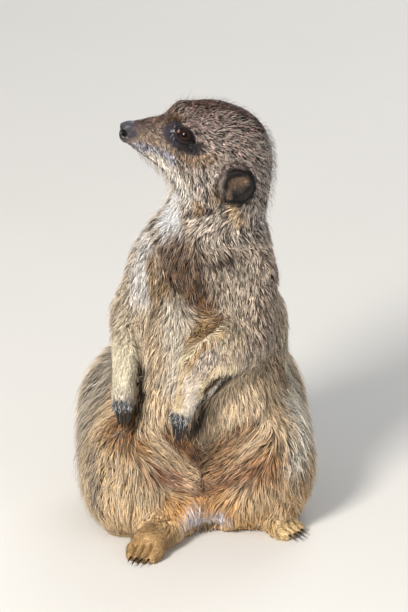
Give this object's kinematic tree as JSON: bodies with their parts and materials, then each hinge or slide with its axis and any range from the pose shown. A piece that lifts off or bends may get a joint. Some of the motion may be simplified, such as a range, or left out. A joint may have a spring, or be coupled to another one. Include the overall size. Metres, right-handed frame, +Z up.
{
  "type": "meerkat",
  "caption": "Still life-size model of a meerkat, sitting up on its rump with arms hanging over the belly and its head turned to its right.",
  "frame": {"origin": "middle of the seat, on the floor, under the rump", "axes": "+Z up; the animal sits facing -Y, so its own left side is +X and its tail lies towards +Y"},
  "size_m": [0.1324, 0.3062, 0.2382],
  "materials": {
    "coat": "matt grizzled fur, buff with dark and silver ticks",
    "belly": "matt long wavy fur, cream to tan",
    "golden": "matt short fur, golden ochre",
    "pale": "matt short fur, cream",
    "dark": "matt short fur, brown-black",
    "nose": "moist bare skin, fine grain",
    "eye": "wet and polished",
    "claw": "smooth horn, half gloss"
  },
  "bodies": {
    "root": {"head": "coat", "nose": "nose", "neck": "coat", "chest": "coat", "belly": "belly", "thigh_left": "coat", "thigh_right": "coat", "upper_arm_left": "coat", "upper_arm_right": "coat", "forearm_left": "pale", "forearm_right": "pale", "hand_left": "pale", "hand_right": "pale", "hind_foot_left": "golden", "hind_foot_right": "golden", "ear_left": "dark", "ear_right": "dark", "eye_left": "eye", "eye_right": "eye", "finger_claw_left_1": "claw", "finger_claw_left_2": "claw", "finger_claw_left_3": "claw", "finger_claw_left_4": "claw", "finger_claw_right_1": "claw", "finger_claw_right_2": "claw", "finger_claw_right_3": "claw", "finger_claw_right_4": "claw", "toe_claw_left_1": "claw", "toe_claw_left_2": "claw", "toe_claw_left_3": "claw", "toe_claw_left_4": "claw", "toe_claw_right_1": "claw", "toe_claw_right_2": "claw", "toe_claw_right_3": "claw", "toe_claw_right_4": "claw", "tail_base": "coat", "tail_middle": "coat", "tail_tip": "dark"}
  },
  "joints": []
}
